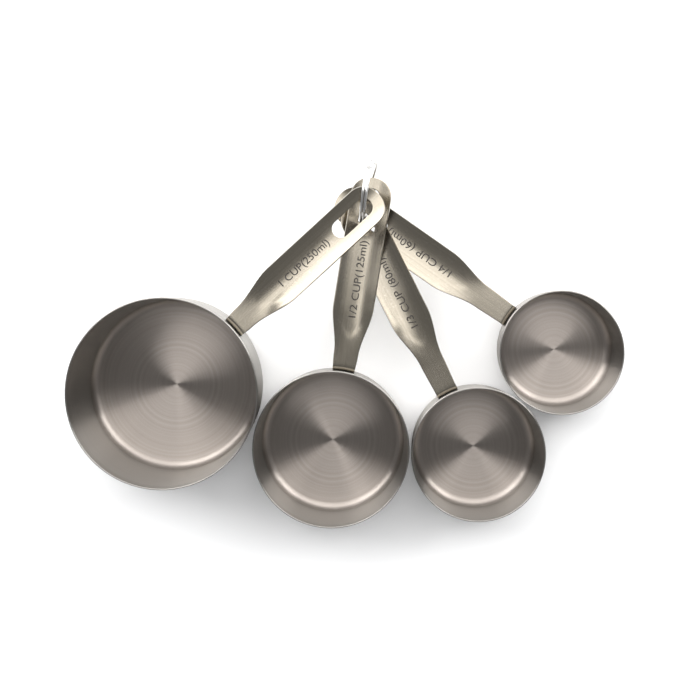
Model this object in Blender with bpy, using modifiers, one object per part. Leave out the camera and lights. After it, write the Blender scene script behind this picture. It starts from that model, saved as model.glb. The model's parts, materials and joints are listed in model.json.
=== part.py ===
"""Set of four stainless steel measuring cups fanned out on a split ring.

Each cup is a deep-drawn bowl with a stamped strip handle welded to its outside
wall just under the rim. The handle is bent down at the cup, flares into a
shallow trough and ends in a slot. One two-turn split ring runs through all four
slots. The cups stand on z = 0 and fan out from the ring with their rims almost
touching; the taller a cup, the higher its handle, so the handles cross freely.
"""

import math

import bmesh
import bpy
from mathutils import Matrix, Vector

MM = 0.001
COLLECTION = "measuring_cup_set"

# Each cup: name, outside radius at the rim, inside depth, taper of the wall on
# the radius, straight neck before the flare, handle reach from rim to tip, where
# the ring sits in the slot (from the tip), and the ring's place across the slot
# as a share of its free play.
CUPS = {
    "250ml": {
        "rim": 42.3 * MM,
        "depth": 47.8 * MM,
        "taper": 1.4 * MM,
        "neck": 7.0 * MM,
        "reach": 87.0 * MM,
        "ring_seat": 9.5 * MM,
        "ring_side": -0.7,
    },
    "125ml": {
        "rim": 35.3 * MM,
        "depth": 34.6 * MM,
        "taper": 1.2 * MM,
        "neck": 7.5 * MM,
        "reach": 88.0 * MM,
        "ring_seat": 21.5 * MM,
        "ring_side": 0.6,
    },
    "80ml": {
        "rim": 30.4 * MM,
        "depth": 30.2 * MM,
        "taper": 1.1 * MM,
        "neck": 17.0 * MM,
        "reach": 96.4 * MM,
        "ring_seat": 10.5 * MM,
        "ring_side": -0.9,
    },
    "60ml": {
        "rim": 28.4 * MM,
        "depth": 26.1 * MM,
        "taper": 1.0 * MM,
        "neck": 16.0 * MM,
        "reach": 95.6 * MM,
        "ring_seat": 16.5 * MM,
        "ring_side": 0.8,
    },
}
ROOT_CUP = "125ml"
ROOT_HANDLE_DIRECTION = math.radians(81.0)
RIM_GAP = 0.8 * MM  # between the rims of neighbouring cups

# Bowls
WALL = 0.7 * MM
FLOOR_FILLET = 4.0 * MM  # inside radius between floor and wall
RIM_ROUND = 0.25 * MM

# Handles
SHEET = 1.0 * MM
WELD_GAP = 0.3 * MM  # between a handle's tab and the bowl's wall
RIM_DROP = 0.8 * MM  # from the rim down to the blade's edges
TAB_DEPTH = 12.0 * MM  # how far the tab reaches down the wall
BEND = 2.4 * MM  # outside radius of the bend at the cup
NECK_HALF = 4.95 * MM
NECK_HALF_AT_FLARE = 5.5 * MM
BLADE_HALF = 8.9 * MM
FLARE = 22.0 * MM  # length over which the neck widens into the blade
TIP_FULLNESS = 2.2  # exponent of the tip's superellipse; 2 is a half circle
TROUGH = 1.5 * MM  # how far the blade's edges stand above its middle
TROUGH_LEAD = 2.0 * MM  # the edges start to rise this far before the flare
CURL_FADE = 9.0 * MM  # length over which the tab's roundness fades into the flat neck
SLOT_HALF = 3.9 * MM
SLOT_LENGTH = 21.5 * MM
TIP_MARGIN = 5.0 * MM  # metal between the slot and the tip
STACK_CLEARANCE = 0.6 * MM  # least gap between two handles that cross
SHEET_SPARE = 1.0 * MM  # formed sheet left outside the outline, to be cut away
CUTTER_SPARE = 2.0 * MM  # cutters stand this far past the sheet's faces
OUTLINE_START = 0.6  # the outline starts well inside the bowl, at this share of the rim

# Split ring
WIRE = 1.35 * MM
COIL_GAP = 0.1 * MM  # between the two turns
RING_SLACK = 4.2 * MM  # inside diameter left over round the stack of handles
RING_YAW = math.radians(81.4)  # direction in plan of the ring's plane
RING_LEAN = math.radians(6.4)  # from upright
RING_REST_GAP = 0.4 * MM  # between the ring and the top handle it hangs on
RING_CLEARANCE = 0.5 * MM  # least gap between the ring and a slot's side
STEP_AT = math.radians(-48.0)  # where the wire steps from one turn to the other
STEP_ARC = math.radians(38.0)

# Fineness of the solids
BOWL_STEPS = 56
FILLET_STEPS = 4
TAB_STEPS = 3
BEND_STEPS = 4
CURL_STEPS = 3
TROUGH_STEPS = 6
FLARE_STEPS = 8
TIP_STEPS = 18
SLOT_END_STEPS = 8
SHEET_COLUMNS = 8
RING_POINTS_PER_TURN = 40
HALVINGS = 50  # of the angle searched for each handle's direction

STEEL = (0.56, 0.54, 0.51)
BRIGHT_STEEL = (0.74, 0.74, 0.73)


def clear_scene():
    for obj in list(bpy.data.objects):
        bpy.data.objects.remove(obj, do_unlink=True)


def new_collection(name):
    collection = bpy.data.collections.new(name)
    bpy.context.scene.collection.children.link(collection)
    return collection


def steel_material(name, colour, roughness):
    material = bpy.data.materials.new(name)
    material.use_nodes = True
    shader = material.node_tree.nodes["Principled BSDF"]
    shader.inputs["Base Color"].default_value = (*colour, 1.0)
    shader.inputs["Metallic"].default_value = 1.0
    shader.inputs["Roughness"].default_value = roughness
    return material


def smoothstep(low, high, value):
    share = min(max((value - low) / (high - low), 0.0), 1.0)
    return share * share * (3.0 - 2.0 * share)


def rim_height(cup):
    return cup["depth"] + WALL


def outer_radius(cup, z):
    """Radius of the bowl's outside wall at height z, above the fillet."""
    return cup["rim"] - cup["taper"] * (1.0 - z / rim_height(cup))


def handle_levels():
    """Height of each blade's edges, from the tallest cup down."""
    spacing = SHEET + TROUGH + STACK_CLEARANCE
    levels = {}
    above = math.inf
    for name, cup in CUPS.items():
        above = min(rim_height(cup) - RIM_DROP, above - spacing)
        levels[name] = above
    return levels


class Ring:
    """Place and size of the split ring, hung on the top handle."""

    def __init__(self, levels):
        top = max(levels.values())
        bottom = min(levels.values()) - SHEET - TROUGH
        inside = (top - bottom + RING_SLACK) / 2.0
        self.radius = inside + WIRE / 2.0
        half_margin = TIP_MARGIN / 2.0
        rise = math.sqrt(inside**2 - half_margin**2) * math.cos(RING_LEAN)
        self.along = Vector((math.cos(RING_YAW), math.sin(RING_YAW), 0.0))
        side = Vector((self.along.y, -self.along.x, 0.0))
        self.up = Vector((0.0, 0.0, math.cos(RING_LEAN))) - side * math.sin(RING_LEAN)
        self.axis = self.along.cross(self.up)
        self.centre = Vector((0.0, 0.0, top + RING_REST_GAP - rise))
        self.half_width = WIRE + COIL_GAP / 2.0

    def point(self, angle, radius=None, across=0.0):
        radius = self.radius if radius is None else radius
        in_plane = self.along * math.cos(angle) + self.up * math.sin(angle)
        return self.centre + in_plane * radius + self.axis * across

    def crossing(self, level):
        """Where the wire passes down through a handle, on the cups' side."""
        height = level - (SHEET + TROUGH) / 2.0 - self.centre.z
        angle = math.pi - math.asin(height / (self.radius * self.up.z))
        return self.point(angle), angle

    def free_play(self, level, slot_direction):
        """How far the wire can lie off the slot's middle, to either side."""
        middle, around = self.crossing(level)
        across_slot = Vector((-slot_direction.y, slot_direction.x, 0.0))
        low = level - SHEET - TROUGH
        reach = 0.0
        for step in range(-30, 31):
            angle = around + math.radians(step)
            for radial in (-WIRE / 2.0, WIRE / 2.0):
                for across in (-self.half_width, self.half_width):
                    point = self.point(angle, self.radius + radial, across)
                    if low <= point.z <= level:
                        reach = max(reach, abs((point - middle).dot(across_slot)))
        return max(SLOT_HALF - reach - RING_CLEARANCE, 0.0)


def fan_axis_point(ring, levels, name):
    """The upright axis a cup turns about: cups below the root share one."""
    names = list(CUPS)
    if names.index(name) <= names.index(ROOT_CUP):
        return ring.crossing(levels[name])[0]
    below = [ring.crossing(levels[n])[0] for n in names[names.index(ROOT_CUP) + 1 :]]
    return sum(below, Vector()) / len(below)


def slot_distance(cup):
    """From the bowl's centre to where the ring sits in the handle."""
    return cup["rim"] + cup["reach"] - cup["ring_seat"]


def bowl_centre(ring, level, cup, direction):
    """Centre of a bowl whose handle points along direction from bowl to ring."""
    crossing = ring.crossing(level)[0]
    along = Vector((math.cos(direction), math.sin(direction), 0.0))
    across = Vector((-along.y, along.x, 0.0))
    offset = cup["ring_side"] * ring.free_play(level, along)
    centre = crossing - along * slot_distance(cup) - across * offset
    centre.z = 0.0
    return centre


def fan_out(ring, levels):
    """Centre and handle direction of each bowl, neighbouring rims RIM_GAP apart."""
    names = list(CUPS)
    root = names.index(ROOT_CUP)
    start = bowl_centre(ring, levels[ROOT_CUP], CUPS[ROOT_CUP], ROOT_HANDLE_DIRECTION)
    placed = {ROOT_CUP: (start, ROOT_HANDLE_DIRECTION)}
    order = [(names[i], names[i + 1], -1.0) for i in reversed(range(root))]
    order += [(names[i], names[i - 1], 1.0) for i in range(root + 1, len(names))]
    for name, neighbour, turn in order:
        apart = CUPS[name]["rim"] + CUPS[neighbour]["rim"] + RIM_GAP
        beside, direction = placed[neighbour]
        near, far = direction, direction + turn * math.pi / 2.0
        for _ in range(HALVINGS):
            middle = (near + far) / 2.0
            centre = bowl_centre(ring, levels[name], CUPS[name], middle)
            if (centre - beside).length < apart:
                near = middle
            else:
                far = middle
        placed[name] = (bowl_centre(ring, levels[name], CUPS[name], far), far)
    return placed


def add_object(name, data, collection, material=None):
    obj = bpy.data.objects.new(name, data)
    collection.objects.link(obj)
    if material:
        obj.data.materials.append(material)
    return obj


def boolean(obj, cutter, operation):
    modifier = obj.modifiers.new(cutter.name, "BOOLEAN")
    modifier.operation = operation
    modifier.solver = "EXACT"
    modifier.object = cutter


def bowl_profile(cup):
    """Points (radius, height) from the floor's middle over the rim to the base's middle."""
    height = rim_height(cup)
    points = [(0.0, WALL)]
    for inside in (True, False):
        fillet = FLOOR_FILLET if inside else FLOOR_FILLET + WALL
        corner = outer_radius(cup, FLOOR_FILLET + WALL) - FLOOR_FILLET - WALL
        arc = []
        for step in range(FILLET_STEPS + 1):
            angle = math.radians(90.0 * step / FILLET_STEPS)
            arc.append(
                (
                    corner + fillet * math.sin(angle),
                    FLOOR_FILLET + WALL - fillet * math.cos(angle),
                )
            )
        wall_top = cup["rim"] - (WALL if inside else 0.0)
        lip = RIM_ROUND if inside else -RIM_ROUND
        edge = [(wall_top, height - RIM_ROUND), (wall_top + lip, height)]
        side = arc + edge
        points += side if inside else side[::-1]
    points.append((0.0, 0.0))
    return points


def build_bowl(name, cup, collection, material):
    points = bowl_profile(cup)
    mesh = bpy.data.meshes.new(f"bowl_{name}")
    edges = [(i, i + 1) for i in range(len(points) - 1)]
    mesh.from_pydata([(x, 0.0, z) for x, z in points], edges, [])
    bowl = add_object(f"bowl_{name}", mesh, collection, material)
    screw = bowl.modifiers.new("turn", "SCREW")
    screw.steps = BOWL_STEPS
    screw.render_steps = BOWL_STEPS
    screw.use_merge_vertices = True
    screw.merge_threshold = 0.00001
    screw.use_smooth_shade = True
    return bowl


def flare_start(cup):
    """Distance from the bowl's axis at which the neck begins to widen."""
    return cup["rim"] + cup["neck"]


def half_width(cup, x):
    """Half the handle's width at x from the bowl's axis, leaving out the tip."""
    lean = smoothstep(cup["rim"], flare_start(cup), x)
    neck = NECK_HALF + (NECK_HALF_AT_FLARE - NECK_HALF) * lean
    flare = smoothstep(flare_start(cup), flare_start(cup) + FLARE, x)
    return neck + (BLADE_HALF - neck) * flare


def handle_outline(cup):
    """Corners of the handle in plan, from inside the bowl round the tip and back."""
    tip = cup["rim"] + cup["reach"]
    stations = [OUTLINE_START * cup["rim"], cup["rim"]]
    stations += [flare_start(cup) + FLARE * step / FLARE_STEPS for step in range(FLARE_STEPS + 1)]
    side = [(x, half_width(cup, x)) for x in stations]
    for step in range(TIP_STEPS + 1):
        angle = math.pi / 2.0 - math.pi * step / TIP_STEPS
        power = 2.0 / TIP_FULLNESS
        x = tip - BLADE_HALF + BLADE_HALF * abs(math.cos(angle)) ** power
        y = math.copysign(BLADE_HALF * abs(math.sin(angle)) ** power, math.sin(angle))
        side.append((x, y))
    return side + [(x, -half_width(cup, x)) for x in reversed(stations)]


def slot_outline(cup):
    """Corners of the slot in plan: a long hole with half-round ends."""
    outer = cup["rim"] + cup["reach"] - TIP_MARGIN - SLOT_HALF
    inner = outer - SLOT_LENGTH + 2.0 * SLOT_HALF
    points = []
    for centre, start in ((outer, math.pi / 2.0), (inner, -math.pi / 2.0)):
        for step in range(SLOT_END_STEPS + 1):
            angle = start - math.pi * step / SLOT_END_STEPS
            points.append(
                (centre + SLOT_HALF * math.cos(angle), SLOT_HALF * math.sin(angle))
            )
    return points


def prism(name, outline, low, high, collection):
    """Upright cutter over an outline in plan, from height low to high."""
    curve = bpy.data.curves.new(name, "CURVE")
    curve.dimensions = "2D"
    curve.fill_mode = "BOTH"
    curve.extrude = (high - low) / 2.0
    spline = curve.splines.new("POLY")
    spline.points.add(len(outline) - 1)
    for point, (x, y) in zip(spline.points, outline):
        point.co = (x, y, 0.0, 1.0)
    spline.use_cyclic_u = True
    flat = add_object(f"{name}_outline", curve, collection)
    bpy.context.view_layer.update()
    graph = bpy.context.evaluated_depsgraph_get()
    mesh = bpy.data.meshes.new_from_object(flat.evaluated_get(graph))
    bpy.data.objects.remove(flat, do_unlink=True)
    loose = bmesh.new()
    loose.from_mesh(mesh)
    bmesh.ops.remove_doubles(loose, verts=loose.verts, dist=0.000001)
    bmesh.ops.recalc_face_normals(loose, faces=loose.faces)
    bmesh.ops.translate(loose, verts=loose.verts, vec=(0.0, 0.0, (low + high) / 2.0))
    loose.to_mesh(mesh)
    loose.free()
    cutter = add_object(name, mesh, collection)
    cutter.hide_render = True
    cutter.display_type = "WIRE"
    return cutter


def sheet_stations(cup, seat):
    """(x, z, roundness) along the middle of the handle's upper face, tab's foot to tip."""
    wall = outer_radius(cup, seat) + WELD_GAP
    foot = seat - TAB_DEPTH
    stations = []
    for step in range(TAB_STEPS):
        z = foot + (TAB_DEPTH - BEND) * step / TAB_STEPS
        stations.append((outer_radius(cup, z) + WELD_GAP, z, 1.0))
    for step in range(BEND_STEPS + 1):
        angle = math.radians(90.0 * step / BEND_STEPS)
        x = wall + BEND * (1.0 - math.cos(angle))
        stations.append((x, seat - BEND + BEND * math.sin(angle), 1.0))
    flat_start = wall + BEND
    for step in range(1, CURL_STEPS + 1):
        x = flat_start + CURL_FADE * step / CURL_STEPS
        stations.append((x, seat, 1.0 - smoothstep(flat_start, flat_start + CURL_FADE, x)))
    start = max(flare_start(cup) - TROUGH_LEAD, stations[-1][0] + SHEET_SPARE)
    full = flare_start(cup) + FLARE
    tip = cup["rim"] + cup["reach"]
    xs = [start + (full - start) * step / TROUGH_STEPS for step in range(TROUGH_STEPS + 1)]
    xs += [(full + tip) / 2.0, tip + SHEET_SPARE]
    return stations + [(x, seat, 0.0) for x in xs]


def edge_rise(cup, x):
    """How far the blade's edges stand above its middle."""
    return TROUGH * smoothstep(flare_start(cup) - TROUGH_LEAD, flare_start(cup) + FLARE, x)


def build_handle(name, cup, level, collection, cutters, material):
    """The handle in the bowl's frame, its blade along +X."""
    seat = level - TROUGH
    stations = sheet_stations(cup, seat)
    curl = outer_radius(cup, seat) + WELD_GAP
    rows = bmesh.new()
    bmesh.ops.create_grid(
        rows, x_segments=len(stations) - 1, y_segments=SHEET_COLUMNS, size=1.0
    )
    for vert in rows.verts:
        index = round((vert.co.x + 1.0) / 2.0 * (len(stations) - 1))
        x, z, roundness = stations[index]
        across = vert.co.y
        y = across * (half_width(cup, x) + SHEET_SPARE)
        x -= roundness * (curl - math.sqrt(curl**2 - y**2))
        vert.co = (x, y, z + edge_rise(cup, x) * (y / BLADE_HALF) ** 2)
    mesh = bpy.data.meshes.new(f"handle_{name}")
    rows.to_mesh(mesh)
    rows.free()
    handle = add_object(f"handle_{name}", mesh, collection, material)
    solid = handle.modifiers.new("sheet", "SOLIDIFY")
    solid.thickness = SHEET
    solid.offset = -1.0
    solid.use_even_offset = True
    low = seat - TAB_DEPTH - CUTTER_SPARE
    high = level + CUTTER_SPARE
    blank = prism(f"blank_{name}", handle_outline(cup), low, high, cutters)
    slot = prism(f"slot_{name}", slot_outline(cup), low, high, cutters)
    boolean(handle, blank, "INTERSECT")
    boolean(handle, slot, "DIFFERENCE")
    return handle, (blank, slot)


def build_ring(ring, collection, material):
    """Two turns of wire side by side, with one step between them."""
    pitch = WIRE + COIL_GAP
    start = STEP_AT + STEP_ARC / 2.0
    cross_start = STEP_AT + 2.0 * math.pi - STEP_ARC / 2.0
    cross_end = cross_start + STEP_ARC
    end = STEP_AT + 4.0 * math.pi - STEP_ARC / 2.0
    count = round((end - start) / (2.0 * math.pi) * RING_POINTS_PER_TURN)
    curve = bpy.data.curves.new("split_ring", "CURVE")
    curve.dimensions = "3D"
    curve.bevel_depth = WIRE / 2.0
    curve.bevel_resolution = 2
    curve.use_fill_caps = True
    curve.twist_mode = "Z_UP"
    spline = curve.splines.new("POLY")
    spline.points.add(count)
    for index, point in enumerate(spline.points):
        angle = start + (end - start) * index / count
        across = pitch * (smoothstep(cross_start, cross_end, angle) - 0.5)
        x = ring.radius * math.cos(angle)
        y = ring.radius * math.sin(angle)
        point.co = (x, y, across, 1.0)
    obj = add_object("split_ring", curve, collection, material)
    turn = Matrix((ring.along, ring.up, ring.axis)).transposed().to_4x4()
    obj.matrix_world = Matrix.Translation(ring.centre) @ turn
    return obj


def middle_of_plan(ring, placed):
    """Middle of the whole set's bounding box, on the floor."""
    west = min(spot.x - CUPS[name]["rim"] for name, (spot, _) in placed.items())
    east = max(spot.x + CUPS[name]["rim"] for name, (spot, _) in placed.items())
    south = min(spot.y - CUPS[name]["rim"] for name, (spot, _) in placed.items())
    north = ring.centre.y + (ring.radius + WIRE / 2.0) * ring.along.y
    return Vector(((west + east) / 2.0, (south + north) / 2.0, 0.0))


def main():
    clear_scene()
    collection = new_collection(COLLECTION)
    cutters = new_collection("cutters")
    cutters.hide_render = True
    bowl_steel = steel_material("bowl_steel", STEEL, 0.34)
    handle_steel = steel_material("handle_steel", STEEL, 0.30)
    ring_steel = steel_material("ring_steel", BRIGHT_STEEL, 0.12)

    levels = handle_levels()
    ring = Ring(levels)
    placed = fan_out(ring, levels)
    middle = middle_of_plan(ring, placed)

    for name, cup in CUPS.items():
        centre, direction = placed[name]
        pivot = fan_axis_point(ring, levels, name)
        fan_axis = bpy.data.objects.new(f"fan_axis_{name}", None)
        fan_axis.empty_display_size = 5.0 * MM
        collection.objects.link(fan_axis)
        fan_axis.location = (pivot.x - middle.x, pivot.y - middle.y, 0.0)
        bowl = build_bowl(name, cup, collection, bowl_steel)
        handle, blanks = build_handle(name, cup, levels[name], collection, cutters, handle_steel)
        place = Matrix.Translation(centre - middle) @ Matrix.Rotation(direction, 4, "Z")
        for piece in (bowl, handle, *blanks):
            piece.matrix_world = place
        bpy.context.view_layer.update()
        for piece in (bowl, handle):
            piece.parent = fan_axis
            piece.matrix_parent_inverse = fan_axis.matrix_world.inverted()

    wire = build_ring(ring, collection, ring_steel)
    wire.location = wire.location - middle


main()
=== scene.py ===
"""Finished look of the fanned-out measuring cup set: turned bowls, stamped and
engraved handles and a two-turn split ring, on a pale studio floor."""

import json
import math

import bpy
from mathutils import Matrix, Vector


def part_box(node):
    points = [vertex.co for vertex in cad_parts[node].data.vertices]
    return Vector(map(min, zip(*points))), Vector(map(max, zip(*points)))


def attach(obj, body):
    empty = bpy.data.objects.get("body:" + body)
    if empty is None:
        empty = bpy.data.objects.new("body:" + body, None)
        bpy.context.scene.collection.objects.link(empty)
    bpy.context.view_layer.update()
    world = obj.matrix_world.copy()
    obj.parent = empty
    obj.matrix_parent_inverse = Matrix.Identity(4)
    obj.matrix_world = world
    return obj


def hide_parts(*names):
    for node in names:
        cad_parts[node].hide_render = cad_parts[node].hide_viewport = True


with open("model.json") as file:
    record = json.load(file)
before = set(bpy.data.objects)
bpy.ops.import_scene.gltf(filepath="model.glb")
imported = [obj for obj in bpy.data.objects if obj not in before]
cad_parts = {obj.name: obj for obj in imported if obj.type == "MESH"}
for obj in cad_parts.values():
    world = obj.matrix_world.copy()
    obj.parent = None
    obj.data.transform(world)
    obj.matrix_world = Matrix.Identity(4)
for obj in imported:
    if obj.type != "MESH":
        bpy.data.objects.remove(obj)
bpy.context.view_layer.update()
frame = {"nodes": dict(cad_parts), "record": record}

MM = 0.001
QUARTER_TURN = math.pi / 2
FULL_TURN = 2 * math.pi
SIZES = ("250ml", "125ml", "80ml", "60ml")
MARKS = {
    "250ml": "1 CUP(250ml)",
    "125ml": "1/2 CUP(125ml)",
    "80ml": "1/3 CUP (80ml)",
    "60ml": "1/4 CUP (60ml)",
}

# Bowls
WALL = 0.7 * MM
OUTER_FILLET = 4.7 * MM
TAPER = {"250ml": 1.4 * MM, "125ml": 1.2 * MM, "80ml": 1.1 * MM, "60ml": 1.0 * MM}
LIP_ROUND = 0.22 * MM
TURN_STEPS = 160
FILLET_STEPS = 10
WALL_STEPS = 6
FLOOR_RINGS = 8
FLOOR_HUB = 0.6  # the floor's middle disc, in widths of one floor ring

# Handles
SHEET = 1.0 * MM
WELD_GAP = 0.3 * MM
TAB_DEPTH = 12.0 * MM
TAB_CORNER = 2.2 * MM
BEND = 2.4 * MM
NECK = {"250ml": 7.0 * MM, "125ml": 7.5 * MM, "80ml": 17.0 * MM, "60ml": 16.0 * MM}
NECK_HALF = 4.95 * MM
NECK_HALF_AT_FLARE = 5.5 * MM
BLADE_HALF = 8.9 * MM
FLARE = 22.0 * MM
TIP_FULLNESS = 2.2
TROUGH = 1.5 * MM
TROUGH_LEAD = 2.0 * MM
CURL_FADE = 9.0 * MM
SLOT_HALF = 3.9 * MM
SLOT_LENGTH = 21.5 * MM
TIP_MARGIN = 5.0 * MM
TROUGH_DIP = 0.07 * MM
TROUGH_DIP_START = 6.5 * MM
TROUGH_DIP_LENGTH = 4.5 * MM
TROUGH_TOE = 1.6 * MM
EDGE_ROUND = 0.26 * MM
HALF_COLUMNS = 12

# How finely each stretch of a handle's outline is divided
TAB_CORNER_STEPS = 6
TAB_STEPS = 6
BEND_STEPS = 10
BLADE_STEPS = 70
SLOT_END_STEPS = 12
SLOT_SIDE_STEPS = 10
TIP_STEPS = 24

# Spot welds: how far under the blade, and how far to its side
WELDS = (
    (3.6 * MM, -2.3 * MM),
    (3.6 * MM, 2.3 * MM),
    (8.4 * MM, -2.3 * MM),
    (8.4 * MM, 2.3 * MM),
)
WELD_RADIUS = 1.3 * MM
WELD_DEPTH = 0.16 * MM
WELD_SEGMENTS = 32
WELD_RINGS = 16

# Capacity marks
MARK_HEIGHT = 3.2 * MM
MARK_SINK = 0.2 * MM
MARK_CUTTER_SPARE = 1.0 * MM
MARK_CURVE_STEPS = 6
FIRST_FIGURE = 0.3  # the first figure ends before this, in text one unit high
# A hair's wobble in the letters, so that no stroke's edge is in line with another's
MARK_WOBBLE = 0.004 * MM
MARK_START = {"250ml": 28.5 * MM, "125ml": 24.6 * MM, "80ml": 33.8 * MM, "60ml": 33.5 * MM}
MARK_LENGTH = {"250ml": 28.0 * MM, "125ml": 34.7 * MM, "80ml": 34.4 * MM, "60ml": 34.4 * MM}

# Split ring
WIRE = 1.35 * MM
WIRE_ROUNDNESS = 5
COIL_GAP = 0.1 * MM
STEP_AT = math.radians(-48.0)
STEP_ARC = math.radians(38.0)
RING_POINTS_PER_TURN = 120

# Mesh upkeep
MERGE_DOUBLES = 0.002 * MM
MERGE_MIRRORED = 0.01 * MM
ON_THE_AXIS = 0.01 * MM
SMOOTH_ANGLE = 32.0
WIRE_SMOOTH_ANGLE = 40.0
SHARP_EDGE = math.radians(50)
UV_PER_METRE = 10.0

# Limits that turn a noise or a normal into a mask
GRAIN_LIMITS = (0.7, 1.3)
SMUDGE_LIMITS = (0.4, 0.65)
SPECK_LIMITS = (0.62, 0.8)
PAINTED_EDGE_LIGHT_LIMITS = (1.0, 0.85)
WHOLE = (0.0, 1.0)

# Finishes: lines and spots are counted per unit of UV or per metre
BOWL_FINISH = {
    "fine": 1100.0,
    "broad": 75.0,
    "smudge": 22.0,
    "speck": 1500.0,
    "edge": 0.25 * MM,
    "dark": (0.312, 0.276, 0.248),
    "light": (0.372, 0.332, 0.302),
    # Painted reflection tint: the walls take a more neutral colour than the floor, standing in for
    # what they reflect.
    "wall_painted_reflection_dark": (0.312, 0.3, 0.28),
    "wall_painted_reflection_light": (0.356, 0.343, 0.322),
    "smudge_colour": (0.31, 0.28, 0.26),
    "smudge_strength": 0.25,
    "speck_colour": (0.45, 0.41, 0.38),
    "speck_strength": 0.12,
    # Painted highlight: a pale colour along the bowls' edges and rims, standing in for their bright
    # lip lines.
    "edge_colour": (0.62, 0.59, 0.56),
    "edge_strength": 0.8,
    "roughness": (0.28, 0.32),
    "anisotropy": 1.0,
    "groove_strength": 0.35,
    "groove_depth": 0.004 * MM,
}
# Height up the bowl where the walls' painted reflection tint begins.
WALL_REFLECTION_TINT_FROM = 1.5 * MM
HANDLE_FINISH = {
    "fine": 1500.0,
    "broad": 130.0,
    "smudge": 45.0,
    "speck": 1300.0,
    "edge": 0.25 * MM,
    "dark": (0.292, 0.262, 0.212),
    "light": (0.357, 0.322, 0.262),
    "smudge_colour": (0.26, 0.235, 0.2),
    "smudge_strength": 0.3,
    "speck_colour": (0.46, 0.43, 0.38),
    "speck_strength": 0.2,
    # Painted shade: a near-black colour along the handles' edges, standing in for their dark
    # outlines.
    "edge_colour": (0.12, 0.11, 0.1),
    "edge_strength": 0.85,
    "roughness": (0.18, 0.25),
    "anisotropy": 0.4,
    "groove_strength": 0.3,
    "groove_depth": 0.004 * MM,
}
# Painted shade: the engraved capacity marks are coloured near-black for the shade in their
# recesses; smudges vary it.
MARK_PAINTED_SHADE = {
    "smudge": 260.0,
    "speck": 1800.0,
    "clean": (0.055, 0.05, 0.045),
    "smudged": (0.085, 0.078, 0.07),
    "roughness": (0.42, 0.5),
}
RING_FINISH = {
    "smudge": 120.0,
    "speck": 2200.0,
    "clean": (0.78, 0.77, 0.75),
    "smudged": (0.66, 0.65, 0.63),
    "roughness": (0.1, 0.17),
}
FLOOR_FINISH = {
    "smudge": 4.0,
    "speck": 900.0,
    "clean": (0.955, 0.955, 0.955),
    "smudged": (0.94, 0.94, 0.938),
}
FLOOR_ROUGHNESS = 0.9

# Studio: a standing panel is its left and right foot and its brightness, seen from the object;
# a roof is two corners and its brightness
ROOM_LIGHT = 0.3
ROOM_COLOUR = (0.97, 0.98, 1.0, 1.0)
TENT_FOOT = 0.2
TENT_HEIGHT = 1.2
PANELS = {
    "left_panel": ((-0.95, 0.29), (-0.3, 0.95), 3.8),
    "back_panel": ((-0.3, 0.95), (0.7, 0.95), 3.2),
    "right_panel": ((0.7, 0.95), (0.95, 0.36), 4.4),
}
ROOFS = {
    "near_left_roof": ((-0.34, -0.05), (-0.13, 0.07), 2.3),
    "near_roof": ((-0.13, -0.02), (0.17, 0.07), 0.75),
    "near_right_roof": ((0.17, -0.03), (0.55, 0.07), 1.8),
    "main_roof": ((-0.3, 0.07), (0.55, 0.95), 2.7),
    "left_roof": ((-0.95, 0.25), (-0.3, 0.95), 4.2),
    "right_roof": ((0.55, 0.25), (0.95, 0.95), 3.6),
}
FLOOR_FILL = 0.75
FLOOR_FILL_AT = (0.1, -0.7, 0.9)
FLOOR_FILL_TOWARDS = (-0.1, 0.7, -0.9)
FLOOR_FILL_WIDE = 1.2
FLOOR_FILL_TALL = 0.8
FLOOR_SIZE = 6.0
FLOOR_DROP = 0.2 * MM

# Camera, looking straight down
CAMERA_AT = (0.00904, 0.03486, 0.627)
LENS = 68.04
SENSOR = 36.0
IMAGE_WIDTH = 700.0
SHIFT_X = -20.0 / IMAGE_WIDTH
SHIFT_Y = -85.0 / IMAGE_WIDTH


def use_only(piece):
    """Selects this piece alone and makes it the active one."""
    bpy.ops.object.select_all(action="DESELECT")
    piece.select_set(True)
    bpy.context.view_layer.objects.active = piece


def apply_modifier(piece, kind, **settings):
    """Adds a modifier with these settings and applies it."""
    use_only(piece)
    modifier = piece.modifiers.new(kind.lower(), kind)
    for name, value in settings.items():
        setattr(modifier, name, value)
    bpy.ops.object.modifier_apply(modifier=modifier.name)


def settle(piece):
    """Puts the piece's place into its mesh."""
    use_only(piece)
    bpy.ops.object.transform_apply(location=True, rotation=True, scale=True)


def smooth(piece, angle=SMOOTH_ANGLE):
    use_only(piece)
    bpy.ops.object.shade_smooth_by_angle(angle=math.radians(angle))


def recalculate(piece):
    """Merges doubles and points the faces outwards."""
    use_only(piece)
    bpy.ops.object.mode_set(mode="EDIT")
    bpy.ops.mesh.select_all(action="SELECT")
    bpy.ops.mesh.remove_doubles(threshold=MERGE_DOUBLES)
    bpy.ops.mesh.normals_make_consistent(inside=False)
    bpy.ops.object.mode_set(mode="OBJECT")


def smoothstep(low, high, value):
    """Rises softly from 0 at `low` to 1 at `high`."""
    share = min(max((value - low) / (high - low), 0.0), 1.0)
    return share * share * (3.0 - 2.0 * share)


# ---------------------------------------------------------------- measures


def bowl_measure(size):
    """Centre, rim radius and height of a bowl, from its CAD box."""
    low, high = (Vector(corner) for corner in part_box(f"bowl_{size}"))
    centre = Vector(((low.x + high.x) / 2, (low.y + high.y) / 2, 0.0))
    return centre, (high.x - low.x) / 2, high.z


def handle_measure(size):
    """Direction of a handle from its bowl, distance to its tip, and height of its blade's edges."""
    centre = bowl_measure(size)[0]
    spots = [vert.co for vert in frame["nodes"][f"handle_{size}"].data.vertices]
    tip = max(spots, key=lambda spot: (spot.xy - centre.xy).length)
    reach = (tip.xy - centre.xy).length
    direction = math.atan2(tip.y - centre.y, tip.x - centre.x)
    return direction, reach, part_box(f"handle_{size}")[1][2]


# ---------------------------------------------------------------- bowls


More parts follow.
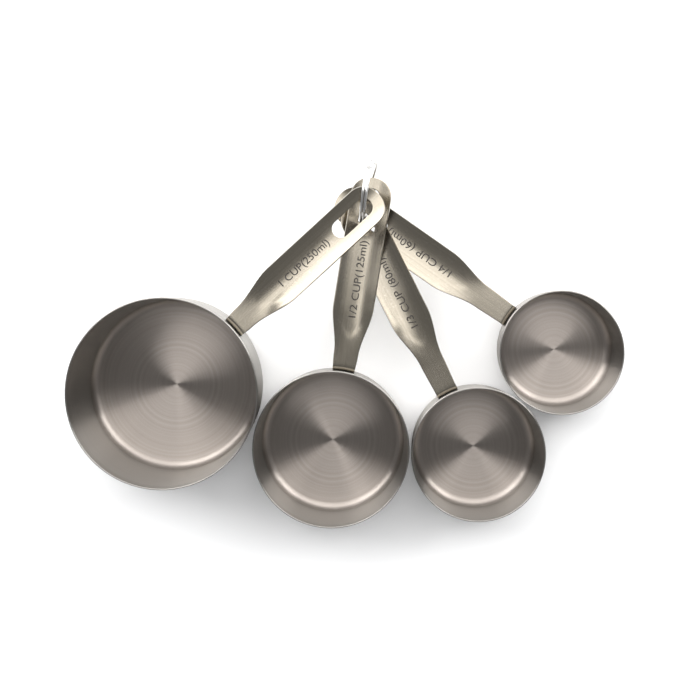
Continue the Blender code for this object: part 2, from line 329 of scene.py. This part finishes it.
def wrap_round(piece, centre):
    """UV map with U up the profile and V round the turning axis."""
    mesh = piece.data
    layer = mesh.uv_layers.active or mesh.uv_layers.new(name="turned")
    layer.name = "turned"
    for face in mesh.polygons:
        middle = math.atan2(face.center.y - centre.y, face.center.x - centre.x)
        for index in face.loop_indices:
            spot = mesh.vertices[mesh.loops[index].vertex_index].co
            dx, dy = spot.x - centre.x, spot.y - centre.y
            radius = math.hypot(dx, dy)
            angle = middle if radius < ON_THE_AXIS else math.atan2(dy, dx)
            angle += FULL_TURN * round((middle - angle) / FULL_TURN)
            layer.data[index].uv = ((radius + spot.z) * UV_PER_METRE, angle / FULL_TURN)


def turn_bowl(size):
    """A disc whose edge is drawn up round the fillet and the wall, thickened, its lip eased."""
    centre, rim, height = bowl_measure(size)
    foot = rim - TAPER[size] * (1.0 - OUTER_FILLET / height) - OUTER_FILLET
    bpy.ops.object.select_all(action="DESELECT")
    bpy.ops.mesh.primitive_circle_add(
        vertices=TURN_STEPS, radius=foot, fill_type="NGON", location=centre
    )
    bowl = bpy.context.object
    bowl.name = f"turned_bowl_{size}"
    settle(bowl)
    bpy.ops.object.mode_set(mode="EDIT")
    bpy.ops.mesh.select_mode(type="EDGE")
    bpy.ops.mesh.select_all(action="SELECT")
    path = []
    for step in range(1, FILLET_STEPS + 1):
        angle = QUARTER_TURN * step / FILLET_STEPS
        path.append((foot + OUTER_FILLET * math.sin(angle), OUTER_FILLET * (1 - math.cos(angle))))
    for step in range(1, WALL_STEPS + 1):
        z = OUTER_FILLET + (height - OUTER_FILLET) * step / WALL_STEPS
        path.append((rim - TAPER[size] * (1.0 - z / height), z))
    radius, z = foot, 0.0
    for next_radius, next_z in path:
        bpy.ops.mesh.extrude_edges_move(TRANSFORM_OT_translate={"value": (0, 0, next_z - z)})
        grow = next_radius / radius
        bpy.ops.transform.resize(value=(grow, grow, 1), center_override=centre)
        radius, z = next_radius, next_z
    bpy.ops.mesh.select_mode(type="FACE")
    bpy.ops.mesh.select_all(action="DESELECT")
    bpy.ops.object.mode_set(mode="OBJECT")
    for face in bowl.data.polygons:
        face.select = len(face.vertices) > 4
    bpy.ops.object.mode_set(mode="EDIT")
    for _ in range(FLOOR_RINGS):
        bpy.ops.mesh.inset(thickness=foot / (FLOOR_RINGS + FLOOR_HUB))
    bpy.ops.mesh.poke()
    bpy.ops.mesh.select_all(action="SELECT")
    bpy.ops.mesh.normals_make_consistent(inside=False)
    bpy.ops.object.mode_set(mode="OBJECT")
    wall = max(bowl.data.polygons, key=lambda face: face.center.z)
    if wall.normal.dot(wall.center - centre) < 0:
        bowl.data.flip_normals()
    apply_modifier(bowl, "SOLIDIFY", thickness=WALL, offset=-1.0, use_even_offset=True)
    apply_modifier(
        bowl,
        "BEVEL",
        width=LIP_ROUND,
        segments=3,
        limit_method="ANGLE",
        angle_limit=SHARP_EDGE,
    )
    smooth(bowl)
    wrap_round(bowl, centre)
    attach(bowl, f"cup_{size}")
    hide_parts(f"bowl_{size}")
    return bowl


# ---------------------------------------------------------------- handles


class Blank:
    """Shape of one handle in its own frame: the bowl's axis at 0, the blade along +X."""

    def __init__(self, size):
        self.centre, self.rim, self.bowl_height = bowl_measure(size)
        self.direction, self.tip, edges = handle_measure(size)
        self.level = edges - TROUGH
        self.size = size
        self.taper = TAPER[size]
        self.flare_start = self.rim + NECK[size]
        self.flare_end = self.flare_start + FLARE
        self.slot_out = self.tip - TIP_MARGIN - SLOT_HALF
        self.slot_in = self.slot_out - SLOT_LENGTH + 2 * SLOT_HALF
        self.curl = self.wall(self.level)

    def wall(self, z):
        """Radius of the tab's inner face at a height."""
        return self.rim - self.taper * (1.0 - z / self.bowl_height) + WELD_GAP

    def half_width(self, x):
        lean = smoothstep(0.0, 1.0, (x - self.rim) / (self.flare_start - self.rim))
        neck = NECK_HALF + (NECK_HALF_AT_FLARE - NECK_HALF) * lean
        return neck + (BLADE_HALF - neck) * smoothstep(self.flare_start, self.flare_end, x)

    def rise(self, x, y):
        """How far the trough's side stands above its level middle."""
        along = smoothstep(self.flare_start - TROUGH_LEAD, self.flare_end, x)
        across = (y / BLADE_HALF) ** 2
        toe = self.flare_start + TROUGH_DIP_START + y**2 / (2 * TROUGH_TOE)
        dip = smoothstep(toe, toe + TROUGH_DIP_LENGTH, x)
        return TROUGH * along * across - TROUGH_DIP * dip * max(0.0, 1.0 - across)

    def tab_rows(self):
        """The tab, from its rounded foot up to the bend."""
        foot = self.level - TAB_DEPTH
        for step in range(TAB_CORNER_STEPS + 1):
            angle = QUARTER_TURN * step / TAB_CORNER_STEPS
            z = foot + TAB_CORNER * (1 - math.cos(angle))
            half = NECK_HALF - TAB_CORNER * (1 - math.sin(angle))
            yield self.wall(z), 0.0, self.wall(z), half, z, 1.0
        for step in range(1, TAB_STEPS):
            z = foot + TAB_CORNER + (TAB_DEPTH - TAB_CORNER - BEND) * step / TAB_STEPS
            yield self.wall(z), 0.0, self.wall(z), NECK_HALF, z, 1.0

    def blade_rows(self):
        """The bend, the neck and the blade up to the slot."""
        for step in range(BEND_STEPS + 1):
            angle = QUARTER_TURN * step / BEND_STEPS
            x = self.curl + BEND * (1 - math.cos(angle))
            z = self.level - BEND * (1 - math.sin(angle))
            yield x, 0.0, x, self.half_width(x), z, 1.0
        start = self.curl + BEND
        slot_start = self.slot_in - SLOT_HALF
        for step in range(1, BLADE_STEPS):
            x = start + (slot_start - start) * step / BLADE_STEPS
            curl = 1.0 - smoothstep(start, start + CURL_FADE, x)
            yield x, 0.0, x, self.half_width(x), self.level, curl

    def slot_rows(self):
        """The blade beside the slot, then round its end and the blade's tip together."""
        for step in range(SLOT_END_STEPS + 1):
            angle = QUARTER_TURN * step / SLOT_END_STEPS
            x = self.slot_in - SLOT_HALF * math.cos(angle)
            yield x, SLOT_HALF * math.sin(angle), x, BLADE_HALF, self.level, 0.0
        for step in range(1, SLOT_SIDE_STEPS):
            x = self.slot_in + (self.slot_out - self.slot_in) * step / SLOT_SIDE_STEPS
            yield x, SLOT_HALF, x, BLADE_HALF, self.level, 0.0
        power = 2.0 / TIP_FULLNESS
        for step in range(TIP_STEPS + 1):
            angle = QUARTER_TURN * (1 - step / TIP_STEPS)
            cosine, sine = abs(math.cos(angle)), abs(math.sin(angle))
            if step == TIP_STEPS:
                cosine, sine = 1.0, 0.0
            inner = (self.slot_out + SLOT_HALF * cosine, SLOT_HALF * sine)
            outer = (
                self.tip - BLADE_HALF + BLADE_HALF * cosine**power,
                BLADE_HALF * sine**power,
            )
            yield *inner, *outer, self.level, 0.0

    def rows(self):
        """All rows of the upper face's half, from the tab's foot to the tip.

        A row is (inner x, inner y, outer x, outer y, z, curl): where it begins and ends, its
        height, and how much of the bowl's curve it follows.
        """
        return [*self.tab_rows(), *self.blade_rows(), *self.slot_rows()]

    def place(self):
        """Turns the blank's own frame to where the handle lies."""
        return Matrix.Translation(self.centre) @ Matrix.Rotation(self.direction, 4, "Z")


def press_sheet(blank):
    """Half of the upper face, a row at a time, mirrored and given the sheet's thickness."""
    rows = blank.rows()
    bpy.ops.object.select_all(action="DESELECT")
    bpy.ops.mesh.primitive_grid_add(
        x_subdivisions=len(rows) - 1, y_subdivisions=HALF_COLUMNS, size=2.0
    )
    piece = bpy.context.object
    for vert in piece.data.vertices:
        row = rows[round((vert.co.x + 1.0) / 2.0 * (len(rows) - 1))]
        inner_x, inner_y, outer_x, outer_y, z, curl = row
        share = (vert.co.y + 1.0) / 2.0
        x = inner_x + (outer_x - inner_x) * share
        y = inner_y + (outer_y - inner_y) * share
        z += blank.rise(x, y)
        x -= curl * (blank.curl - math.sqrt(blank.curl**2 - y**2))
        vert.co = (x, y, z)
    apply_modifier(
        piece,
        "MIRROR",
        use_axis=(False, True, False),
        use_mirror_merge=True,
        merge_threshold=MERGE_MIRRORED,
    )
    recalculate(piece)
    flat = max(piece.data.polygons, key=lambda face: abs(face.normal.z))
    if flat.normal.z < 0:
        piece.data.flip_normals()
    apply_modifier(piece, "SOLIDIFY", thickness=SHEET, offset=-1.0, use_even_offset=True)
    apply_modifier(
        piece,
        "BEVEL",
        width=EDGE_ROUND,
        segments=3,
        limit_method="ANGLE",
        angle_limit=SHARP_EDGE,
    )
    return piece


def mark_cutter(blank):
    """The capacity mark as a solid, standing in the trough's middle."""
    bpy.ops.object.select_all(action="DESELECT")
    bpy.ops.object.text_add(location=(0, 0, 0))
    text = bpy.context.object
    text.data.body = MARKS[blank.size]
    text.data.size = 1.0
    text.data.extrude = 0.5
    text.data.resolution_u = MARK_CURVE_STEPS
    bpy.ops.object.convert(target="MESH")
    text = bpy.context.object
    recalculate(text)
    spots = [vert.co for vert in text.data.vertices]
    low_x, high_x = min(s.x for s in spots), max(s.x for s in spots)
    cap = max(s.y for s in spots if s.x < low_x + FIRST_FIGURE)
    start = blank.rim + MARK_START[blank.size]
    wide = MARK_LENGTH[blank.size] / (high_x - low_x)
    tall = MARK_HEIGHT / cap
    floor = blank.level - TROUGH_DIP - MARK_SINK
    for vert in text.data.vertices:
        x = start + (vert.co.x - low_x) * wide
        vert.co = (
            x,
            (vert.co.y - cap / 2) * tall + MARK_WOBBLE * math.sin(x / MM),
            floor if vert.co.z < 0 else blank.level + MARK_CUTTER_SPARE,
        )
    return text


def weld_dents(blank):
    """Flattened balls that leave the spot welds' shallow dents in the tab's outer face."""
    dents = []
    for drop, side in WELDS:
        z = blank.level - drop
        face = math.sqrt((blank.wall(z) + SHEET) ** 2 - side**2)
        bpy.ops.object.select_all(action="DESELECT")
        bpy.ops.mesh.primitive_uv_sphere_add(
            segments=WELD_SEGMENTS,
            ring_count=WELD_RINGS,
            radius=WELD_RADIUS,
            location=(face, side, z),
            scale=(WELD_DEPTH / WELD_RADIUS, 1.0, 1.0),
        )
        settle(bpy.context.object)
        dents.append(bpy.context.object)
    return dents


def cut(piece, cutter):
    """Cuts the cutter out of the piece; the cut faces take the cutter's material."""
    apply_modifier(
        piece,
        "BOOLEAN",
        operation="DIFFERENCE",
        solver="EXACT",
        object=cutter,
        material_mode="TRANSFER",
    )
    bpy.data.objects.remove(cutter, do_unlink=True)


def lay_lengthwise(piece):
    """UV map with U across the blade and V along it, taken in the blank's own frame."""
    mesh = piece.data
    layer = mesh.uv_layers.active or mesh.uv_layers.new(name="grain")
    layer.name = "grain"
    for loop in mesh.loops:
        spot = mesh.vertices[loop.vertex_index].co
        layer.data[loop.index].uv = (spot.y * UV_PER_METRE, (spot.x + spot.z) * UV_PER_METRE)


def stamp_handle(size, satin, shaded_mark):
    """A pressed sheet with its mark and weld dents cut in, laid where its cup's handle is."""
    blank = Blank(size)
    handle = press_sheet(blank)
    handle.name = f"stamped_handle_{size}"
    handle.data.materials.append(satin)
    mark = mark_cutter(blank)
    mark.data.materials.append(shaded_mark)
    cut(handle, mark)
    for dent in weld_dents(blank):
        dent.data.materials.append(satin)
        cut(handle, dent)
    lay_lengthwise(handle)
    handle.matrix_world = blank.place()
    settle(handle)
    smooth(handle)
    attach(handle, f"cup_{size}")
    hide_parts(f"handle_{size}")


# ---------------------------------------------------------------- ring


def ring_measure():
    """Centre and axis of the split ring, from its joint, and its wire's radius of turn."""
    joints = frame["record"]["behaviour"]["joints"]
    joint = next(joint for joint in joints if joint["name"] == "ring_spin")
    centre, axis = Vector(joint["pos_m"]), Vector(joint["axis"]).normalized()
    arms = [vert.co - centre for vert in frame["nodes"]["split_ring"].data.vertices]
    outer = max((arm - axis * arm.dot(axis)).length for arm in arms)
    return centre, axis, outer - WIRE / 2


def wind_ring():
    """Two turns of round wire side by side, with the step where one crosses to the other."""
    centre, axis, radius = ring_measure()
    along = Vector((-axis.y, axis.x, 0.0)).normalized()
    up = axis.cross(along)
    pitch = WIRE + COIL_GAP
    start = STEP_AT + STEP_ARC / 2
    cross_start = STEP_AT + FULL_TURN - STEP_ARC / 2
    end = STEP_AT + 2 * FULL_TURN - STEP_ARC / 2
    count = round((end - start) / FULL_TURN * RING_POINTS_PER_TURN)
    bpy.ops.object.select_all(action="DESELECT")
    bpy.ops.curve.primitive_nurbs_path_add(location=(0, 0, 0))
    ring = bpy.context.object
    ring.name = "wound_ring"
    curve = ring.data
    curve.splines.clear()
    spline = curve.splines.new("POLY")
    spline.points.add(count)
    for index, point in enumerate(spline.points):
        angle = start + (end - start) * index / count
        across = pitch * (smoothstep(cross_start, cross_start + STEP_ARC, angle) - 0.5)
        spot = along * (radius * math.cos(angle)) + up * (radius * math.sin(angle))
        spot += axis * across
        point.co = (*(centre + spot), 1.0)
    curve.twist_mode = "MINIMUM"
    curve.bevel_depth = WIRE / 2
    curve.bevel_resolution = WIRE_ROUNDNESS
    curve.use_fill_caps = True
    use_only(ring)
    bpy.ops.object.convert(target="MESH")
    ring = bpy.context.object
    recalculate(ring)
    smooth(ring, WIRE_SMOOTH_ANGLE)
    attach(ring, "ring")
    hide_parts("split_ring")
    return ring


# ---------------------------------------------------------------- finishes


def new_group(name, inputs, outputs):
    """A shader node group: inputs are (name, socket type), outputs are names of values."""
    tree = bpy.data.node_groups.new(name, "ShaderNodeTree")
    for label, kind in inputs:
        tree.interface.new_socket(label, in_out="INPUT", socket_type=kind)
    for label in outputs:
        tree.interface.new_socket(label, in_out="OUTPUT", socket_type="NodeSocketFloat")
    return tree, tree.nodes.new("NodeGroupInput"), tree.nodes.new("NodeGroupOutput")


def calculate(tree, operation, first, second):
    """A Math node; each side is a number or another node's socket."""
    node = tree.nodes.new("ShaderNodeMath")
    node.operation = operation
    for index, value in enumerate((first, second)):
        if isinstance(value, (int, float)):
            node.inputs[index].default_value = value
        else:
            tree.links.new(value, node.inputs[index])
    return node.outputs[0]


def remap(tree, value, old, new):
    """Takes a value from one range to another, held at its ends."""
    node = tree.nodes.new("ShaderNodeMapRange")
    node.inputs["From Min"].default_value, node.inputs["From Max"].default_value = old
    node.inputs["To Min"].default_value, node.inputs["To Max"].default_value = new
    tree.links.new(value, node.inputs["Value"])
    return node.outputs["Result"]


def blend(tree, mask, low, high):
    """Mixes two colours by a mask; each is a colour or another node's socket."""
    node = tree.nodes.new("ShaderNodeMix")
    node.data_type = "RGBA"
    for name, value in (("Factor_Float", mask), ("A_Color", low), ("B_Color", high)):
        socket = next(socket for socket in node.inputs if socket.identifier == name)
        if isinstance(value, tuple):
            socket.default_value = (*value, 1.0)
        else:
            tree.links.new(value, socket)
    return next(socket for socket in node.outputs if socket.identifier == "Result_Color")


def grain_group():
    """Fine parallel scratches: lathe rings on a bowl, belt lines along a handle."""
    tree, entry, leave = new_group(
        "brushed_grain",
        [
            ("Across", "NodeSocketFloat"),
            ("Fine Lines", "NodeSocketFloat"),
            ("Broad Lines", "NodeSocketFloat"),
        ],
        ["Height", "Shade"],
    )
    heights = []
    for lines in ("Fine Lines", "Broad Lines"):
        noise = tree.nodes.new("ShaderNodeTexNoise")
        noise.noise_dimensions = "1D"
        noise.inputs["Scale"].default_value = 1.0
        noise.inputs["Detail"].default_value = 2.0
        place = calculate(tree, "MULTIPLY", entry.outputs["Across"], entry.outputs[lines])
        tree.links.new(place, noise.inputs["W"])
        heights.append(noise.outputs["Fac"])
    total = calculate(tree, "ADD", *heights)
    tree.links.new(total, leave.inputs["Height"])
    tree.links.new(remap(tree, total, GRAIN_LIMITS, WHOLE), leave.inputs["Shade"])
    return tree


def handling_group():
    """Faint marks of use: broad smudges, and specks in the finish."""
    tree, entry, leave = new_group(
        "handling",
        [
            ("Vector", "NodeSocketVector"),
            ("Smudge Scale", "NodeSocketFloat"),
            ("Speck Scale", "NodeSocketFloat"),
        ],
        ["Smudge", "Specks"],
    )
    for label, scale, detail, limits in (
        ("Smudge", "Smudge Scale", 3.0, SMUDGE_LIMITS),
        ("Specks", "Speck Scale", 0.0, SPECK_LIMITS),
    ):
        noise = tree.nodes.new("ShaderNodeTexNoise")
        noise.inputs["Detail"].default_value = detail
        tree.links.new(entry.outputs["Vector"], noise.inputs["Vector"])
        tree.links.new(entry.outputs[scale], noise.inputs["Scale"])
        mask = remap(tree, noise.outputs["Fac"], limits, WHOLE)
        tree.links.new(mask, leave.inputs[label])
    return tree


def edge_group():
    """A mask of the edges, for painted light: a painted highlight along the bowls' edges and
    painted shade along the handles' edges.
    """
    tree, entry, leave = new_group("edge_wear", [("Radius", "NodeSocketFloat")], ["Edge"])
    bevel = tree.nodes.new("ShaderNodeBevel")
    bevel.samples = 4
    tree.links.new(entry.outputs["Radius"], bevel.inputs["Radius"])
    flat = tree.nodes.new("ShaderNodeNewGeometry")
    along = tree.nodes.new("ShaderNodeVectorMath")
    along.operation = "DOT_PRODUCT"
    tree.links.new(bevel.outputs["Normal"], along.inputs[0])
    tree.links.new(flat.outputs["Normal"], along.inputs[1])
    mask = remap(tree, along.outputs["Value"], PAINTED_EDGE_LIGHT_LIMITS, WHOLE)
    tree.links.new(mask, leave.inputs["Edge"])
    return tree


def new_material(name):
    """A material, its node tree and its Principled shader."""
    material = bpy.data.materials.new(name)
    material.use_nodes = True
    tree = material.node_tree
    return material, tree, tree.nodes["Principled BSDF"]


def use_group(tree, group, links=(), **values):
    """Places a group in a material; `values` are its numbers, spaces written as underscores."""
    node = tree.nodes.new("ShaderNodeGroup")
    node.node_tree = group
    for label, value in values.items():
        node.inputs[label.replace("_", " ")].default_value = value
    for label, socket in links:
        tree.links.new(socket, node.inputs[label])
    return node


def use_handling(tree, groups, finish):
    """The handling group on Object coordinates, and those coordinates."""
    spots = tree.nodes.new("ShaderNodeTexCoord").outputs["Object"]
    marks = use_group(
        tree,
        groups["handling"],
        [("Vector", spots)],
        Smudge_Scale=finish["smudge"],
        Speck_Scale=finish["speck"],
    )
    return marks, spots


def brush_along(tree, shader, uv_map):
    """Turns the shader's stretched highlights with the piece's UV map."""
    tangent = tree.nodes.new("ShaderNodeTangent")
    tangent.direction_type = "UV_MAP"
    tangent.uv_map = uv_map
    tree.links.new(tangent.outputs["Tangent"], shader.inputs["Tangent"])


def brushed_steel(name, groups, uv_map, finish):
    """Brushed sheet: grain across the UV's U, smudges and specks, painted light along the edges (a
    highlight on the bowls, shade on the handles), and where the finish has wall tones, a painted
    reflection tint up the walls.
    """
    material, tree, shader = new_material(name)
    shader.inputs["Metallic"].default_value = 1.0
    shader.inputs["Anisotropic"].default_value = finish["anisotropy"]
    brush_along(tree, shader, uv_map)

    place = tree.nodes.new("ShaderNodeUVMap")
    place.uv_map = uv_map
    split = tree.nodes.new("ShaderNodeSeparateXYZ")
    tree.links.new(place.outputs["UV"], split.inputs[0])
    grain = use_group(
        tree,
        groups["grain"],
        [("Across", split.outputs["X"])],
        Fine_Lines=finish["fine"],
        Broad_Lines=finish["broad"],
    )
    marks, spots = use_handling(tree, groups, finish)
    edges = use_group(tree, groups["edge"], Radius=finish["edge"])

    colour = blend(tree, grain.outputs["Shade"], finish["dark"], finish["light"])
    # Up the walls the colour blends into a painted tint of their reflected light.
    if "wall_painted_reflection_dark" in finish:
        height = tree.nodes.new("ShaderNodeSeparateXYZ")
        tree.links.new(spots, height.inputs[0])
        painted_tint_on_wall = remap(tree, height.outputs["Z"], (WALL_REFLECTION_TINT_FROM, OUTER_FILLET), WHOLE)
        wall = blend(tree, grain.outputs["Shade"], finish["wall_painted_reflection_dark"], finish["wall_painted_reflection_light"])
        colour = blend(tree, painted_tint_on_wall, colour, wall)
    # Smudges and specks are the metal's own marks; the edge colour is painted light, a highlight on
    # bowl edges and shade on handle edges.
    for mask, effect in (
        (marks.outputs["Smudge"], "smudge"),
        (marks.outputs["Specks"], "speck"),
        (edges.outputs["Edge"], "edge"),
    ):
        share = calculate(tree, "MULTIPLY", mask, finish[f"{effect}_strength"])
        colour = blend(tree, share, colour, finish[f"{effect}_colour"])
    tree.links.new(colour, shader.inputs["Base Color"])

    rough = remap(tree, marks.outputs["Smudge"], WHOLE, finish["roughness"])
    tree.links.new(rough, shader.inputs["Roughness"])
    bump = tree.nodes.new("ShaderNodeBump")
    bump.inputs["Strength"].default_value = finish["groove_strength"]
    bump.inputs["Distance"].default_value = finish["groove_depth"]
    tree.links.new(grain.outputs["Height"], bump.inputs["Height"])
    tree.links.new(bump.outputs["Normal"], shader.inputs["Normal"])
    return material


def plain_metal(name, groups, finish, dulled_by):
    """Unbrushed metal, its tone changed by smudges and its polish by the mask `dulled_by`."""
    material, tree, shader = new_material(name)
    shader.inputs["Metallic"].default_value = 1.0
    marks, _ = use_handling(tree, groups, finish)
    colour = blend(tree, marks.outputs["Smudge"], finish["clean"], finish["smudged"])
    tree.links.new(colour, shader.inputs["Base Color"])
    rough = remap(tree, marks.outputs[dulled_by], WHOLE, finish["roughness"])
    tree.links.new(rough, shader.inputs["Roughness"])
    return material


# ---------------------------------------------------------------- studio


def soft_panel(name, centre, facing, wide, tall, brightness, in_reflections=True):
    """A lit rectangle that the camera doesn't see."""
    light = bpy.data.lights.new(name, "AREA")
    light.shape = "RECTANGLE"
    light.size, light.size_y = wide, tall
    light.energy = brightness * math.pi * wide * tall
    lamp = bpy.data.objects.new(name, light)
    bpy.context.scene.collection.objects.link(lamp)
    lamp.location = centre
    lamp.rotation_euler = facing.to_track_quat("-Z", "Y").to_euler()
    lamp.visible_camera = False
    lamp.visible_glossy = in_reflections


def light_studio():
    """A tent of soft panels and roofs round the ring side; the rest of the room is dim.

    One more panel from the front lightens the floor's shadows and stays out of reflections.
    """
    world = bpy.data.worlds.new("studio")
    bpy.context.scene.world = world
    world.use_nodes = True
    background = world.node_tree.nodes["Background"]
    background.inputs["Color"].default_value = ROOM_COLOUR
    background.inputs["Strength"].default_value = ROOM_LIGHT
    for name, (left, right, brightness) in PANELS.items():
        left, right = Vector((*left, 0.0)), Vector((*right, 0.0))
        tall = TENT_HEIGHT - TENT_FOOT
        centre = (left + right) / 2 + Vector((0.0, 0.0, TENT_FOOT + tall / 2))
        facing = Vector((0.0, 0.0, 1.0)).cross(left - right)
        soft_panel(name, centre, facing, (right - left).length, tall, brightness)
    for name, (low, high, brightness) in ROOFS.items():
        wide, deep = high[0] - low[0], high[1] - low[1]
        centre = Vector((low[0] + wide / 2, low[1] + deep / 2, TENT_HEIGHT))
        soft_panel(name, centre, Vector((0.0, 0.0, -1.0)), wide, deep, brightness)
    soft_panel(
        "floor_fill",
        Vector(FLOOR_FILL_AT),
        Vector(FLOOR_FILL_TOWARDS),
        FLOOR_FILL_WIDE,
        FLOOR_FILL_TALL,
        FLOOR_FILL,
        in_reflections=False,
    )
    bpy.context.scene.view_settings.view_transform = "Standard"


def lay_floor(groups):
    """A wide matt sheet just under the cups."""
    bpy.ops.object.select_all(action="DESELECT")
    bpy.ops.mesh.primitive_plane_add(size=FLOOR_SIZE, location=(0, 0, -FLOOR_DROP))
    floor = bpy.context.object
    floor.name = "studio_floor"
    material, tree, shader = new_material("pale_floor")
    marks, _ = use_handling(tree, groups, FLOOR_FINISH)
    colour = blend(tree, marks.outputs["Smudge"], FLOOR_FINISH["clean"], FLOOR_FINISH["smudged"])
    tree.links.new(colour, shader.inputs["Base Color"])
    shader.inputs["Roughness"].default_value = FLOOR_ROUGHNESS
    floor.data.materials.append(material)


def aim_camera():
    """Straight down over the set; the shift frames it as a level camera would."""
    data = bpy.data.cameras.new("camera")
    data.lens = LENS
    data.sensor_width = SENSOR
    data.shift_x = SHIFT_X
    data.shift_y = SHIFT_Y
    camera = bpy.data.objects.new("camera", data)
    camera.location = CAMERA_AT
    bpy.context.scene.collection.objects.link(camera)
    bpy.context.scene.camera = camera


def main():
    aim_camera()
    groups = {"grain": grain_group(), "handling": handling_group(), "edge": edge_group()}
    steel = brushed_steel("turned_steel", groups, "turned", BOWL_FINISH)
    satin = brushed_steel("satin_steel", groups, "grain", HANDLE_FINISH)
    # The capacity marks' near-black colour is painted shade in the engraved letters.
    shaded_mark = plain_metal("mark_painted_shade", groups, MARK_PAINTED_SHADE, "Specks")
    plate = plain_metal("bright_plate", groups, RING_FINISH, "Smudge")
    for size in SIZES:
        turn_bowl(size).data.materials.append(steel)
        stamp_handle(size, satin, shaded_mark)
    wind_ring().data.materials.append(plate)
    light_studio()
    lay_floor(groups)


main()
